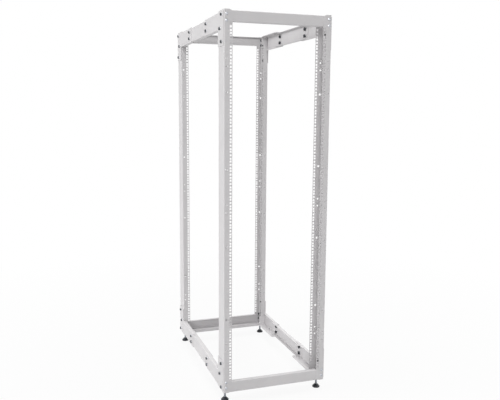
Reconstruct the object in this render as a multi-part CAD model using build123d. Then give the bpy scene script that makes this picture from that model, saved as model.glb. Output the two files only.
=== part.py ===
from build123d import *
import os

# Four post open frame rack for 19 inch equipment: two bolted frames joined by telescoping side beams.
# Millimetres. The origin is on the floor under the middle of the rack, +X right, +Y to the back, +Z up.

# Overall
rack_width = 530.0
rack_depth = 950.0
post_length = 1807.0
post_foot_gap = 55.0

# Sheet metal
sheet = 2.0
bracket_sheet = 3.0
bend_radius = 1.5
end_gap = 0.2
slide_gap = 0.5
bolt_clearance = 0.3
cutter_reach = 6.0

# Posts
post_wall = 90.0
post_flange = 40.0
corner_cut_wide = 14.0
corner_cut_tall = 6.5

# Square holes for cage nuts: three to a unit, in both flanges of each post
rack_unit = 44.45
unit_hole_rises = (0.0, 15.875, 31.75)
square_hole = 9.5
square_hole_inset = 32.45
perforation_drop = 60.0
perforation_end = 57.0

# Round holes down each post flange
round_hole_inset = 12.0
pair_hole_radius = 4.5
single_hole_radius = 5.5
pair_half_spacing = 17.5
outer_pair_rise = 670.5
single_rises = (182.0, 536.0)

# Bolts through the posts, each place measured from the post's end
beam_bolt_radius = 3.0
top_bolt_drops = (20.0, 50.0)
bottom_bolt_rises = (25.0, 53.0)
side_bolt_radius = 4.0
side_bolt_spots = ((21.0, 30.0), (81.0, 55.0), (141.0, 30.0))

# Front and back beams
top_beam_height = 50.5
bottom_beam_height = 54.0
beam_flange = 20.0
beam_tab = 13.0
top_beam_drop = 4.0
seat_depth = 84.0
seat_lip = 17.0

# Side brackets and the channels that slide in them
bracket_height = 80.0
bracket_wide_flange = 44.0
bracket_narrow_flange = 18.5
bracket_reach = 332.0
bracket_drop = 6.0
flange_setback = 12.0
flange_corner = 12.0
gusset_setback = 5.0
gusset_drop = 160.0
gusset_fillet = 8.0
gusset_relief = 12.0
plate_corner = 3.0
slide_flange = 22.0
slide_overlap = 62.0
slide_bolt_setback = 32.0
slide_bolt_half_spacing = 17.0

# Feet
foot_inset = 19.0
stem_radius = 5.0
stem_rise = 20.0
stem_seat = 10.0
stem_clearance = 0.3
pad_radius = 19.0
pad_rim = 5.0
pad_height = 16.0
pad_neck_radius = 8.0
nut_height = 6.0
nut_across_flats = 17.0

half_width = rack_width / 2
half_depth = rack_depth / 2
post_bottom = post_foot_gap
post_top = post_bottom + post_length
post_middle = post_bottom + post_length / 2
post_back = -half_depth + post_wall
post_centre_y = -half_depth + post_wall / 2
unit_count = int((post_length - perforation_drop - perforation_end) / rack_unit)
bend_room = sheet + bend_radius + end_gap
beam_length = rack_width - 2 * bend_room
bracket_top = post_top - bracket_drop
bracket_middle = bracket_top - bracket_height / 2
slide_height = bracket_height - 2 * bracket_sheet - 2 * slide_gap


def bent_section(points, thickness):
    """A sheet's section, bent along its middle line through the points."""
    line = FilletPolyline(*points, radius=bend_radius + thickness / 2)
    return trace(line, line_width=thickness)


def channel_section(height, top_flange, bottom_flange, thickness=sheet):
    """A C section: the web's outer face on the Y axis, both flanges towards +X."""
    web = thickness / 2
    level = height / 2 - web
    points = ((top_flange, level), (web, level), (web, -level), (bottom_flange, -level))
    return bent_section(points, thickness)


def hole_along_y(x, z, radius, y, length):
    """A round cutter along Y, centred on y."""
    return Pos(x, y, z) * Rot(90, 0, 0) * Cylinder(radius, length)


def hole_along_x(y, z, radius):
    """A round cutter along X, through the sheets on the rack's left side."""
    return Pos(-half_width, y, z) * Rot(0, 90, 0) * Cylinder(radius, 2 * cutter_reach)


def round_hole_spots():
    """Height above the middle of the post and radius of each round hole in a flange."""
    spots = []
    for rise in (-outer_pair_rise, 0.0, outer_pair_rise):
        spots += [(rise + side * pair_half_spacing, pair_hole_radius) for side in (-1, 1)]
    for rise in single_rises:
        spots += [(side * rise, single_hole_radius) for side in (-1, 1)]
    return spots


def square_hole_cutters():
    """The cage nut holes of the left front post, each through both of its flanges."""
    cutter = Box(square_hole, post_wall + sheet, square_hole)
    first = post_top - perforation_drop
    return [Pos(-half_width + square_hole_inset, post_centre_y, first - unit * rack_unit - rise) * cutter
            for unit in range(unit_count) for rise in unit_hole_rises]


def side_bolt_holes():
    """The holes that join the left front post and its top bracket."""
    return [hole_along_x(-half_depth + depth, post_top - drop, side_bolt_radius + bolt_clearance)
            for drop, depth in side_bolt_spots]


def beam_bolt_holes(heights):
    """The holes that join the front posts and a beam, at both ends."""
    return [hole_along_y(side * (half_width - round_hole_inset), z, beam_bolt_radius + bolt_clearance,
                         -half_depth, 2 * cutter_reach) for side in (-1, 1) for z in heights]


def post():
    """The front left post: a channel open to the right, perforated down both flanges."""
    body = extrude(channel_section(post_wall, post_flange, post_flange), post_length)
    body = Pos(-half_width, post_centre_y, post_bottom) * body
    hole_x = -half_width + round_hole_inset
    cutters = [hole_along_y(hole_x, post_middle + rise, radius, post_centre_y, post_wall + sheet)
               for rise, radius in round_hole_spots()]
    bolts = beam_bolt_holes([post_top - drop for drop in top_bolt_drops])
    bolts += beam_bolt_holes([post_bottom + rise for rise in bottom_bolt_rises])
    sides = side_bolt_holes()
    cutters += bolts + sides + [to_bottom(hole) for hole in sides]
    corner = Plane.XZ * make_face(Polyline((0, 0), (-corner_cut_wide, 0), (0, -corner_cut_tall), close=True))
    corner = extrude(corner, post_wall / 2 + sheet, both=True)
    corner = Pos(-half_width + post_flange, post_centre_y, post_top) * corner
    cutters += [corner, to_bottom(corner)]
    return body - cutters - square_hole_cutters()


def cross_beam(section, height, middle_z, tab_side):
    """A front beam between the posts, with a tab past one flange at each end."""
    web_face = -half_depth + sheet
    beam = Pos(-beam_length / 2, web_face, middle_z) * extrude(Plane.YZ * section, beam_length)
    tab_length = post_flange - bend_room
    edge_z = middle_z + tab_side * height / 2
    notch = Box(tab_length, beam_flange, 2 * (sheet + bend_radius))
    tab_height = beam_tab + sheet + bend_radius
    tab = Box(tab_length, sheet, tab_height)
    for side in (-1, 1):
        x = side * (beam_length - tab_length) / 2
        beam -= Pos(x, web_face + sheet + beam_flange / 2, edge_z) * notch
        beam += Pos(x, web_face + sheet / 2, edge_z + tab_side * (beam_tab - tab_height / 2)) * tab
    return beam


def top_beam():
    """The front top beam: its flanges towards the back, its tabs down."""
    section = channel_section(top_beam_height, beam_flange, beam_flange)
    beam = cross_beam(section, top_beam_height, post_top - top_beam_drop - top_beam_height / 2, -1)
    return beam - beam_bolt_holes([post_top - drop for drop in top_bolt_drops])


def bottom_beam():
    """The front bottom beam: its lower flange is a wide seat with a lip, which stands on the feet."""
    web = sheet / 2
    level = bottom_beam_height / 2 - web
    lip = seat_depth - web
    section = bent_section(((beam_flange, level), (web, level), (web, -level), (lip, -level),
                            (lip, -bottom_beam_height / 2 + seat_lip)), sheet)
    beam = cross_beam(section, bottom_beam_height, post_bottom + bottom_beam_height / 2, 1)
    stem_holes = [Pos(side * (half_width - foot_inset), post_centre_y, post_bottom)
                  * Cylinder(stem_radius + stem_clearance, 2 * cutter_reach) for side in (-1, 1)]
    return beam - beam_bolt_holes([post_bottom + rise for rise in bottom_bolt_rises]) - stem_holes


def side_bracket():
    """The left top front bracket: a gusset plate on the post, with a channel arm behind it."""
    outer_x = -half_width - bracket_sheet
    start = post_back + end_gap
    end = -half_depth + bracket_reach
    section = channel_section(bracket_height, bracket_wide_flange, bracket_narrow_flange, bracket_sheet)
    arm = Pos(outer_x, start, bracket_middle) * extrude(Plane.XZ * section, start - end)
    bend = bracket_sheet + bend_radius
    inwards = (Align.MIN, Align.CENTER, Align.CENTER)
    flange_end = Box(bracket_wide_flange, 2 * flange_setback, 2 * bend, align=inwards)
    arm -= Pos(outer_x + bend, end, bracket_top) * flange_end
    corner = (outer_x + bracket_wide_flange, end - flange_setback, bracket_top)
    arm = fillet(arm.edges().filter_by(Axis.Z).sort_by_distance(corner)[0], flange_corner)
    arm_bottom = bracket_top - bracket_height
    relief = Box(bracket_wide_flange, 2 * gusset_relief, 2 * bend, align=inwards)
    arm -= Pos(outer_x, start, arm_bottom) * relief
    front = -half_depth + gusset_setback
    bottom = post_top - gusset_drop
    gusset = make_face(Polyline((front, bracket_top), (start, bracket_top), (start, arm_bottom + bend),
                                (start + gusset_relief, arm_bottom + bend),
                                (start + gusset_relief, arm_bottom), (start, arm_bottom),
                                (start, bottom), (front, bottom), close=True))
    lead = gusset.vertices().sort_by_distance((start, arm_bottom))[0]
    gusset = fillet(lead, gusset_fillet)
    plate_corners = [gusset.vertices().sort_by_distance(spot)[0]
                     for spot in ((front, bracket_top), (front, bottom), (start, bottom))]
    gusset = fillet(plate_corners, plate_corner)
    bracket = arm + Pos(outer_x, 0, 0) * extrude(Plane.YZ * gusset, bracket_sheet)
    return bracket - side_bolt_holes() - slide_bolt_holes()


def slide_bolt_holes():
    """The two holes that clamp the left top front bracket on its slide."""
    return [hole_along_x(-half_depth + bracket_reach - slide_bolt_setback,
                         bracket_middle + side * slide_bolt_half_spacing,
                         side_bolt_radius + bolt_clearance) for side in (-1, 1)]


def side_slide():
    """The left top middle channel, which slides inside the two brackets."""
    start = -half_depth + bracket_reach - slide_overlap
    section = channel_section(slide_height, slide_flange, slide_flange)
    slide = Pos(-half_width, start, bracket_middle) * extrude(Plane.XZ * section, 2 * start)
    holes = slide_bolt_holes()
    return slide - holes - [to_back(hole) for hole in holes]


def foot_stem():
    """The front left foot's threaded stem, from inside its pad to above the seat."""
    length = post_bottom + sheet + stem_rise - stem_seat
    stem = Cylinder(stem_radius, length, align=(Align.CENTER, Align.CENTER, Align.MIN))
    return Pos(-half_width + foot_inset, post_centre_y, stem_seat) * stem


def foot_pad():
    """The front left foot's pad: a disc with a cone that holds the stem."""
    bore = stem_radius + stem_clearance
    profile = Plane.XZ * make_face(Polyline(
        (0, 0), (pad_radius, 0), (pad_radius, pad_rim), (pad_neck_radius, pad_height),
        (bore, pad_height), (bore, stem_seat), (0, stem_seat), close=True))
    return Pos(-half_width + foot_inset, post_centre_y, 0) * revolve(profile, Axis.Z)


def foot_nut():
    """The nut on the front left stem, under the seat."""
    nut = extrude(RegularPolygon(nut_across_flats / 2, 6, major_radius=False), nut_height)
    nut -= Cylinder(stem_radius + stem_clearance, 4 * nut_height)
    return Pos(-half_width + foot_inset, post_centre_y, post_bottom - nut_height) * nut


def to_right(piece):
    return mirror(piece, Plane.YZ)


def to_back(piece):
    return mirror(piece, Plane.XZ)


def to_bottom(piece):
    """The same piece turned over about the posts' middle height."""
    return mirror(piece, Plane.XY.offset(post_middle))


def rack_pieces():
    """Every named piece of the rack, in its place."""
    pieces = {}
    corners = (("front_left", lambda piece: piece), ("front_right", to_right),
               ("back_left", to_back), ("back_right", lambda piece: to_right(to_back(piece))))
    corner_pieces = (("post", post()), ("foot_stem", foot_stem()),
                     ("foot_pad", foot_pad()), ("foot_nut", foot_nut()))
    for corner, place in corners:
        for kind, piece in corner_pieces:
            pieces[f"{corner}_{kind}"] = place(piece)
    for level, beam in (("top", top_beam()), ("bottom", bottom_beam())):
        pieces[f"front_{level}_beam"] = beam
        pieces[f"back_{level}_beam"] = to_back(beam)
    bracket = side_bracket()
    slide = side_slide()
    for side, across in (("left", lambda piece: piece), ("right", to_right)):
        for level, turn in (("top", lambda piece: piece), ("bottom", to_bottom)):
            pieces[f"{side}_{level}_front_bracket"] = across(turn(bracket))
            pieces[f"{side}_{level}_back_bracket"] = across(turn(to_back(bracket)))
            pieces[f"{side}_{level}_slide"] = across(turn(slide))
    return pieces


os.makedirs("parts", exist_ok=True)
for name, piece in rack_pieces().items():
    export_step(piece, f"parts/{name}.step")
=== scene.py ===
import bpy
import math
from mathutils import Euler, Matrix, Vector


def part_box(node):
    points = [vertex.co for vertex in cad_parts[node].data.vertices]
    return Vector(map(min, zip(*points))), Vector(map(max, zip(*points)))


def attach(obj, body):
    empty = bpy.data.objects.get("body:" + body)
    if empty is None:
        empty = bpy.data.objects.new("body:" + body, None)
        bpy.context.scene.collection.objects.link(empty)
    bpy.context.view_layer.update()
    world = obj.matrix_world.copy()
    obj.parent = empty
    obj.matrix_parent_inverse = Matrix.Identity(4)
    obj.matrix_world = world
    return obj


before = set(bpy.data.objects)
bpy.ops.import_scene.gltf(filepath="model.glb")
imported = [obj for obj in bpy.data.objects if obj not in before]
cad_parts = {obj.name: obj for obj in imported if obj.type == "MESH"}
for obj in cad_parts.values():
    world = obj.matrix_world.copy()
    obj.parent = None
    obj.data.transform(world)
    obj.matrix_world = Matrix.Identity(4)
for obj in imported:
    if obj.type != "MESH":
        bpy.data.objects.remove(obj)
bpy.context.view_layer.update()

millimetre = 0.001

# Bolt places, measured from the posts' ends and outer faces. A gusset bolt has its
# distance from the post's end first, and then its depth behind the post's outer face.
# The clamp bolts are set back from the end of a bracket's arm, above and below its middle.
beam_bolt_inset = 12 * millimetre
top_beam_bolt_drops = (20 * millimetre, 50 * millimetre)
bottom_beam_bolt_rises = (25 * millimetre, 53 * millimetre)
gusset_bolt_spots = ((21 * millimetre, 30 * millimetre), (81 * millimetre, 55 * millimetre),
                     (141 * millimetre, 30 * millimetre))
bracket_half_height = 40 * millimetre
clamp_bolt_setback = 32 * millimetre
clamp_bolt_half_spacing = 17 * millimetre
sheet = 2 * millimetre

# Hexagon bolts of the gusset plates and the side clamps
gusset_head_flats = 13 * millimetre
gusset_head_height = 5.3 * millimetre
head_chamfer = 1.3 * millimetre
head_rim = 1.2 * millimetre
head_dish = 0.4 * millimetre
gusset_washer_radius = 8 * millimetre
gusset_shank_radius = 4 * millimetre
gusset_nut_height = 6.5 * millimetre

# Button screws of the cross beams
beam_head_radius = 5.5 * millimetre
beam_head_height = 3.2 * millimetre
dome_width = 1.0 * millimetre
dome_rise = 0.35 * millimetre
beam_socket_flats = 4 * millimetre
socket_taper = 0.2 * millimetre
socket_depth = 1.6 * millimetre
beam_washer_radius = 7.5 * millimetre
beam_shank_radius = 3 * millimetre
beam_nut_flats = 10 * millimetre
beam_nut_height = 5 * millimetre

# What all the fasteners have in common. nut_face_share is how much of the way from a
# nut's flats to its bolt stays flat.
washer_thickness = 1.6 * millimetre
bolt_end = 3 * millimetre
edge_softness = 0.5 * millimetre
edge_steps = 2
nut_face_share = 0.8
nut_countersink = 0.3 * millimetre
nut_countersink_depth = 1.0 * millimetre
hexagon_sides = 6
washer_sides = 28
button_sides = 24
shank_sides = 16
smooth_below = math.radians(35)

# A top face's normal points up by more than this share of its length. The top face of a
# button head also lies above this share of the head's height.
nearly_top = 0.9

# How far the fasteners are turned on their own axes in radians, so that no two lie alike
first_bolt_turn = 0.4
next_bolt_turn = 0.7
first_screw_turn = 0.2
next_screw_turn = 1.0
nut_turn = 0.3

# Dark and light tone of each finish
powder_tones = ((0.593, 0.581, 0.588), (0.622, 0.609, 0.616))
zinc_tones = ((0.50, 0.52, 0.56), (0.66, 0.67, 0.69))
# The fasteners' heads, nuts and bolt ends get a very dark colour that is painted shade and painted dark
# reflection.
painted_shade_metal_tones = ((0.035, 0.037, 0.042), (0.100, 0.104, 0.112))
thread_tones = ((0.26, 0.28, 0.32), (0.44, 0.46, 0.49))
pad_tones = ((0.016, 0.018, 0.022), (0.030, 0.033, 0.040))

# The part of a noise pattern's range that it mostly keeps to
noise_low = 0.3
noise_high = 0.7

# Screw thread of the foot stems. A wave texture has 20 radians to the metre at scale 1.
thread_pitch = 1.5 * millimetre
thread_depth = 0.8 * millimetre
wave_radians = 20

# Studio. The floor is whitest beyond floor_fade_end from the rack's middle.
floor_size = 60.0
floor_grey = (0.60, 0.60, 0.60, 1)
floor_fade_start = 0.8
floor_fade_end = 3.0
near_whiteness = 0.92
white = (1, 1, 1, 1)
ambient_level = 0.18

# Lamps: name, where the light comes from, level, and width in degrees
lamps = (("key_lamp", (-1.0, 0.0, 0.30), 0.525, 30),
         ("front_lamp", (-0.33, -1.0, 0.45), 0.375, 24),
         ("top_lamp", (0.0, 0.05, 1.0), 0.62, 30),
         ("back_lamp", (0.8, 0.6, 0.2), 0.40, 60))

# Camera, from the posts' edges in a picture 500 pixels wide
picture_width = 500
focal_pixels = 625.2
sensor_width = 36.0
camera_place = (-1.082, -3.230, 1.403)
camera_turn = math.radians(18.93)
camera_dip = math.radians(7.94)
camera_roll = math.radians(0.375)


def start_fresh():
    """Leaves edit mode with nothing selected."""
    if bpy.context.object and bpy.context.object.mode != 'OBJECT':
        bpy.ops.object.mode_set(mode='OBJECT')
    bpy.ops.object.select_all(action='DESELECT')


def select_faces(piece, wanted):
    """Goes into edit mode, with only the faces selected that wanted(face) picks."""
    bpy.ops.object.mode_set(mode='EDIT')
    bpy.ops.mesh.select_mode(type='FACE')
    bpy.ops.mesh.select_all(action='DESELECT')
    bpy.ops.object.mode_set(mode='OBJECT')
    for face in piece.data.polygons:
        face.select = wanted(face)
    bpy.ops.object.mode_set(mode='EDIT')


def looks_up(face):
    return face.normal.z > nearly_top


def disc(radius, height, base, sides, finish, chamfer=edge_softness):
    """A disc or prism that stands on the height base, with the edge of its top cut off."""
    start_fresh()
    bpy.ops.mesh.primitive_cylinder_add(vertices=sides, radius=radius, depth=height,
                                        location=(0, 0, base + height / 2))
    piece = bpy.context.object
    bpy.ops.object.transform_apply(location=True, rotation=True, scale=True)
    piece.data.materials.append(finish)
    select_faces(piece, looks_up)
    bpy.ops.mesh.bevel(offset=chamfer, segments=edge_steps, affect='EDGES')
    bpy.ops.object.mode_set(mode='OBJECT')
    return piece


def hexagon(flats, height, finish, chamfer=edge_softness):
    """A hexagon on a washer, as wide over its flats as flats says."""
    radius = flats / 2 / math.cos(math.pi / 6)
    return disc(radius, height, washer_thickness, hexagon_sides, finish, chamfer)


def joined(pieces, name):
    """One object from several."""
    start_fresh()
    for piece in pieces:
        piece.select_set(True)
    bpy.context.view_layer.objects.active = pieces[0]
    if len(pieces) > 1:
        bpy.ops.object.join()
    pieces[0].name = name
    return pieces[0]


def hex_bolt():
    """A hexagon head on a plain washer, standing on the sheet at height 0."""
    washer = disc(gusset_washer_radius, washer_thickness, 0, washer_sides, zinc)
    # The head is painted dark: painted shade and painted dark reflection.
    head = hexagon(gusset_head_flats, gusset_head_height, painted_shade_metal, head_chamfer)
    select_faces(head, looks_up)
    bpy.ops.mesh.inset(thickness=head_rim, depth=0)
    bpy.ops.mesh.inset(thickness=head_dish, depth=-head_dish)
    bpy.ops.object.mode_set(mode='OBJECT')
    return joined([head, washer], "hex_bolt")


def button_bolt():
    """A low round head with a socket in it, standing on the sheet at height 0."""
    head = disc(beam_head_radius, beam_head_height, 0, button_sides, zinc)
    select_faces(head, lambda face: looks_up(face) and face.center.z > beam_head_height * nearly_top)
    flat_radius = beam_head_radius - edge_softness - dome_width
    bpy.ops.mesh.inset(thickness=dome_width, depth=dome_rise)
    bpy.ops.mesh.inset(thickness=flat_radius - beam_socket_flats / 2, depth=0)
    bpy.ops.mesh.inset(thickness=socket_taper, depth=-socket_depth)
    bpy.ops.object.mode_set(mode='OBJECT')
    return joined([head], "button_bolt")


def nut(flats, height, washer_radius, shank_radius, name):
    """A nut on a washer, with the end of its bolt standing out of it."""
    washer = disc(washer_radius, washer_thickness, 0, washer_sides, zinc)
    # The nut and its bolt end are painted dark: painted shade and painted dark reflection.
    body = hexagon(flats, height, painted_shade_metal)
    select_faces(body, looks_up)
    bpy.ops.mesh.inset(thickness=(flats / 2 - shank_radius) * nut_face_share, depth=0)
    bpy.ops.mesh.inset(thickness=nut_countersink, depth=-nut_countersink_depth)
    bpy.ops.object.mode_set(mode='OBJECT')
    shank = disc(shank_radius, height + bolt_end, washer_thickness, shank_sides, painted_shade_metal)
    return joined([body, washer, shank], name)


def placed(template, spot, outward, turn):
    """A copy of a fastener with its own mesh, standing on spot and pointing outward."""
    copy = template.copy()
    copy.data = template.data.copy()
    bpy.context.scene.collection.objects.link(copy)
    aim = Vector(outward).to_track_quat('Z', 'Y').to_matrix().to_4x4()
    copy.data.transform(Matrix.Translation(spot) @ aim @ Matrix.Rotation(turn, 4, 'Z'))
    return copy


def level_height(level, from_end):
    """Height of a place measured from the posts' top or bottom end."""
    return post_high[2] - from_end if level == "top" else post_low[2] + from_end


def bracket_bolts(x_way, y_way, level):
    """The bolts and nuts that hold a side bracket on its post and on its slide."""
    places = [(half_depth - depth, level_height(level, drop)) for drop, depth in gusset_bolt_spots]
    bracket_reach = bracket_high[1] - post_low[1]
    clamp_y = half_depth - (bracket_reach - clamp_bolt_setback)
    for way in (-1, 1):
        places.append((clamp_y, level_height(level, arm_drop + way * clamp_bolt_half_spacing)))
    pieces = []
    for index, (y, z) in enumerate(places):
        turn = first_bolt_turn + next_bolt_turn * index
        outside = (x_way * gusset_face, y_way * y, z)
        inside = (x_way * wall_inside, y_way * y, z)
        pieces.append(placed(gusset_bolt, outside, (x_way, 0, 0), turn))
        pieces.append(placed(gusset_nut, inside, (-x_way, 0, 0), turn + nut_turn))
    return pieces


def beam_screws(x_way, y_way, level):
    """The screws and nuts that hold one end of a cross beam on its post."""
    x = x_way * (half_width - beam_bolt_inset)
    pieces = []
    for index, from_end in enumerate(top_beam_bolt_drops if level == "top" else bottom_beam_bolt_rises):
        z = level_height(level, from_end)
        turn = first_screw_turn + next_screw_turn * index
        pieces.append(placed(beam_bolt, (x, y_way * half_depth, z), (0, y_way, 0), turn))
        pieces.append(placed(beam_nut, (x, y_way * web_inside, z), (0, -y_way, 0), turn + nut_turn))
    return pieces


def finish_fasteners(pieces, name):
    """One riding piece from the fasteners of a joint."""
    group = joined(pieces, name)
    group.data.name = name
    start_fresh()
    group.select_set(True)
    bpy.context.view_layer.objects.active = group
    bpy.ops.object.shade_smooth_by_angle(angle=smooth_below)
    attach(group, "root")


def new_material(name):
    """A node material with its principled shader."""
    material = bpy.data.materials.new(name)
    material.use_nodes = True
    return material, material.node_tree, material.node_tree.nodes["Principled BSDF"]


def noise(tree, scale, detail):
    """A noise pattern fixed to the piece, with that many waves to the metre."""
    place = tree.nodes.new("ShaderNodeTexCoord")
    pattern = tree.nodes.new("ShaderNodeTexNoise")
    pattern.inputs["Scale"].default_value = scale
    pattern.inputs["Detail"].default_value = detail
    tree.links.new(place.outputs["Object"], pattern.inputs["Vector"])
    return pattern.outputs["Fac"]


def tint(tree, shader, source, tones):
    """Colours a finish between its two tones, as source goes."""
    ramp = tree.nodes.new("ShaderNodeValToRGB")
    for stop, place, tone in zip(ramp.color_ramp.elements, (noise_low, noise_high), tones):
        stop.position = place
        stop.color = (*tone, 1)
    tree.links.new(source, ramp.inputs["Fac"])
    tree.links.new(ramp.outputs["Color"], shader.inputs["Base Color"])


def roughen(tree, shader, source, low, high):
    """Makes a finish as rough as low to high, as source goes."""
    span = tree.nodes.new("ShaderNodeMapRange")
    span.inputs["From Min"].default_value = noise_low
    span.inputs["From Max"].default_value = noise_high
    span.inputs["To Min"].default_value = low
    span.inputs["To Max"].default_value = high
    tree.links.new(source, span.inputs["Value"])
    tree.links.new(span.outputs["Result"], shader.inputs["Roughness"])


def relief(tree, shader, source, height, strength):
    """Adds a relief of that height to a finish, over the relief that it has."""
    bump = tree.nodes.new("ShaderNodeBump")
    bump.inputs["Distance"].default_value = height
    bump.inputs["Strength"].default_value = strength
    tree.links.new(source, bump.inputs["Height"])
    if shader.inputs["Normal"].is_linked:
        under = shader.inputs["Normal"].links[0].from_socket
        tree.links.new(under, bump.inputs["Normal"])
    tree.links.new(bump.outputs["Normal"], shader.inputs["Normal"])


def powder_coat_material():
    """Light grey powder coat: nearly even, with a faint orange peel and a soft sheen."""
    material, tree, shader = new_material("powder_coat")
    tint(tree, shader, noise(tree, scale=7, detail=4), powder_tones)
    roughen(tree, shader, noise(tree, scale=160, detail=3), low=0.40, high=0.50)
    relief(tree, shader, noise(tree, scale=420, detail=2), height=0.2 * millimetre, strength=0.35)
    relief(tree, shader, noise(tree, scale=1800, detail=2), height=0.05 * millimetre, strength=0.5)
    shader.inputs["Specular IOR Level"].default_value = 0.45
    return material


def zinc_material():
    """Bright zinc plating: bluish, with a slightly uneven shine."""
    material, tree, shader = new_material("bright_zinc")
    tint(tree, shader, noise(tree, scale=220, detail=3), zinc_tones)
    roughen(tree, shader, noise(tree, scale=600, detail=3), low=0.22, high=0.38)
    relief(tree, shader, noise(tree, scale=2500, detail=2), height=0.04 * millimetre, strength=0.4)
    shader.inputs["Metallic"].default_value = 1.0
    return material


def painted_shade_metal_material():
    """Very dark metal of the hexagon heads, nuts and bolt ends: painted shade and painted dark
    reflection, with a slightly uneven tone.
    """
    material, tree, shader = new_material("painted_shade_metal")
    tint(tree, shader, noise(tree, scale=260, detail=3), painted_shade_metal_tones)
    roughen(tree, shader, noise(tree, scale=500, detail=3), low=0.26, high=0.42)
    relief(tree, shader, noise(tree, scale=2500, detail=2), height=0.04 * millimetre, strength=0.4)
    shader.inputs["Metallic"].default_value = 1.0
    return material


def thread_material():
    """Zinc on a screw thread, a ridge to each turn along the stem."""
    material, tree, shader = new_material("zinc_thread")
    tint(tree, shader, noise(tree, scale=220, detail=3), thread_tones)
    place = tree.nodes.new("ShaderNodeTexCoord")
    turns = tree.nodes.new("ShaderNodeTexWave")
    turns.wave_type = 'BANDS'
    turns.bands_direction = 'Z'
    turns.wave_profile = 'TRI'
    turns.inputs["Scale"].default_value = math.tau / (wave_radians * thread_pitch)
    tree.links.new(place.outputs["Object"], turns.inputs["Vector"])
    relief(tree, shader, turns.outputs["Fac"], height=thread_depth, strength=1.0)
    shader.inputs["Metallic"].default_value = 1.0
    shader.inputs["Roughness"].default_value = 0.3
    return material


def pad_material():
    """Near-black moulded plastic with a slight sheen."""
    material, tree, shader = new_material("moulded_black")
    tint(tree, shader, noise(tree, scale=90, detail=3), pad_tones)
    roughen(tree, shader, noise(tree, scale=300, detail=2), low=0.26, high=0.38)
    relief(tree, shader, noise(tree, scale=1500, detail=2), height=0.1 * millimetre, strength=0.4)
    return material


def coat(node, material):
    """Gives a solid of the frame its finish."""
    slots = node.material_slots
    if not slots:
        node.data.materials.append(material)
    for slot in slots:
        slot.material = material


def combined(tree, operation, first, second):
    """One number worked out from two."""
    result = tree.nodes.new("ShaderNodeMath")
    result.operation = operation
    tree.links.new(first, result.inputs[0])
    tree.links.new(second, result.inputs[1])
    return result.outputs[0]


def background_rays(tree):
    """1 for the rays that should see the white background: camera, gloss and transmission."""
    path = tree.nodes.new("ShaderNodeLightPath")
    rays = path.outputs["Is Camera Ray"]
    for kind in ("Is Glossy Ray", "Is Transmission Ray"):
        rays = combined(tree, 'MAXIMUM', rays, path.outputs[kind])
    return rays


def whiteness(tree):
    """How white the floor looks, growing with the distance from the rack's middle."""
    place = tree.nodes.new("ShaderNodeTexCoord")
    distance = tree.nodes.new("ShaderNodeVectorMath")
    distance.operation = 'LENGTH'
    tree.links.new(place.outputs["Object"], distance.inputs[0])
    fade = tree.nodes.new("ShaderNodeMapRange")
    fade.inputs["From Min"].default_value = floor_fade_start
    fade.inputs["From Max"].default_value = floor_fade_end
    fade.inputs["To Min"].default_value = near_whiteness
    fade.inputs["To Max"].default_value = 1.0
    tree.links.new(distance.outputs["Value"], fade.inputs["Value"])
    return fade.outputs["Result"]


def floor_material():
    """A matt pale grey that mostly shows as white."""
    material, tree, shader = new_material("pale_floor")
    shader.inputs["Base Color"].default_value = floor_grey
    shader.inputs["Roughness"].default_value = 0.9
    glow = tree.nodes.new("ShaderNodeEmission")
    mix = tree.nodes.new("ShaderNodeMixShader")
    share = combined(tree, 'MULTIPLY', whiteness(tree), background_rays(tree))
    tree.links.new(share, mix.inputs["Fac"])
    tree.links.new(shader.outputs["BSDF"], mix.inputs[1])
    tree.links.new(glow.outputs["Emission"], mix.inputs[2])
    tree.links.new(mix.outputs["Shader"], tree.nodes["Material Output"].inputs["Surface"])
    return material


def studio_floor():
    """A wide pale floor that keeps the rack's shadow and runs out into the white."""
    start_fresh()
    bpy.ops.mesh.primitive_plane_add(size=floor_size, location=(0, 0, 0))
    floor = bpy.context.object
    floor.name = "studio_floor"
    floor.data.materials.append(floor_material())


def studio_world():
    """White behind everything, and a softer even light on the rack."""
    world = bpy.data.worlds.new("studio_world")
    bpy.context.scene.world = world
    world.use_nodes = True
    tree = world.node_tree
    level = tree.nodes.new("ShaderNodeMapRange")
    level.inputs["To Min"].default_value = ambient_level
    level.inputs["To Max"].default_value = 1.0
    tree.links.new(background_rays(tree), level.inputs["Value"])
    tree.links.new(level.outputs["Result"], tree.nodes["Background"].inputs["Strength"])
    tree.nodes["Background"].inputs["Color"].default_value = white


def place_lamp(name, source, level, width):
    """A wide soft lamp as far off as the sky. It shines from the direction source."""
    light = bpy.data.lights.new(name, 'SUN')
    light.energy = level * math.pi
    light.angle = math.radians(width)
    holder = bpy.data.objects.new(name, light)
    bpy.context.scene.collection.objects.link(holder)
    holder.rotation_euler = Vector(source).to_track_quat('Z', 'Y').to_euler()


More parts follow.
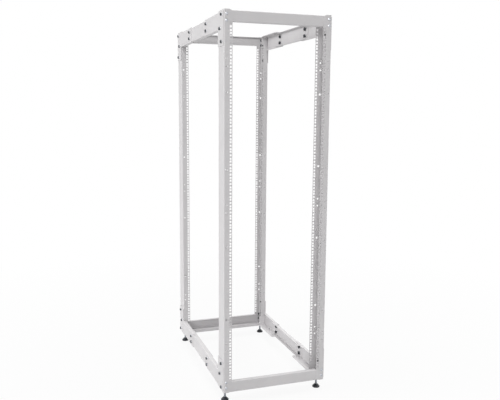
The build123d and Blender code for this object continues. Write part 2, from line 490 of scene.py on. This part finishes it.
def place_camera():
    """The camera at the photograph's angle."""
    lens = bpy.data.cameras.new("photo_camera")
    lens.sensor_fit = 'HORIZONTAL'
    lens.sensor_width = sensor_width
    lens.lens = focal_pixels * sensor_width / picture_width
    camera = bpy.data.objects.new("photo_camera", lens)
    bpy.context.scene.collection.objects.link(camera)
    camera.location = camera_place
    upright = Euler((math.pi / 2 - camera_dip, 0, -camera_turn)).to_matrix()
    camera.rotation_euler = (upright @ Matrix.Rotation(camera_roll, 3, 'Z')).to_euler()
    bpy.context.scene.camera = camera


powder_coat = powder_coat_material()
zinc = zinc_material()
# The very dark fastener metal is painted shade and painted dark reflection.
painted_shade_metal = painted_shade_metal_material()
thread = thread_material()
moulded_black = pad_material()
for name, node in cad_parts.items():
    if name.endswith("_foot_pad"):
        coat(node, moulded_black)
    elif name.endswith("_foot_stem"):
        coat(node, thread)
    elif name.endswith("_foot_nut"):
        coat(node, zinc)
    else:
        coat(node, powder_coat)

# Faces that the fasteners stand on. A beam's web lies against the inside of its post.
# arm_drop goes from the post's top to the middle of the bracket's arm.
post_low, post_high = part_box("front_left_post")
bracket_low, bracket_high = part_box("left_top_front_bracket")
arm_drop = post_high[2] - (bracket_high[2] - bracket_half_height)
half_width = -post_low[0]
half_depth = -post_low[1]
gusset_face = -bracket_low[0]
wall_inside = half_width - sheet
web_inside = half_depth - 2 * sheet

gusset_bolt = hex_bolt()
gusset_nut = nut(gusset_head_flats, gusset_nut_height, gusset_washer_radius, gusset_shank_radius,
                 "gusset_nut")
beam_bolt = button_bolt()
beam_nut = nut(beam_nut_flats, beam_nut_height, beam_washer_radius, beam_shank_radius, "beam_nut")
for side, x_way in (("left", -1), ("right", 1)):
    for face, y_way in (("front", -1), ("back", 1)):
        for level in ("top", "bottom"):
            joint = f"{side}_{level}_{face}"
            finish_fasteners(bracket_bolts(x_way, y_way, level), f"{joint}_bracket_bolts")
            finish_fasteners(beam_screws(x_way, y_way, level), f"{joint}_beam_bolts")
for template in (gusset_bolt, gusset_nut, beam_bolt, beam_nut):
    bpy.data.objects.remove(template)

studio_floor()
studio_world()
for lamp in lamps:
    place_lamp(*lamp)
place_camera()
bpy.context.scene.view_settings.view_transform = 'Standard'
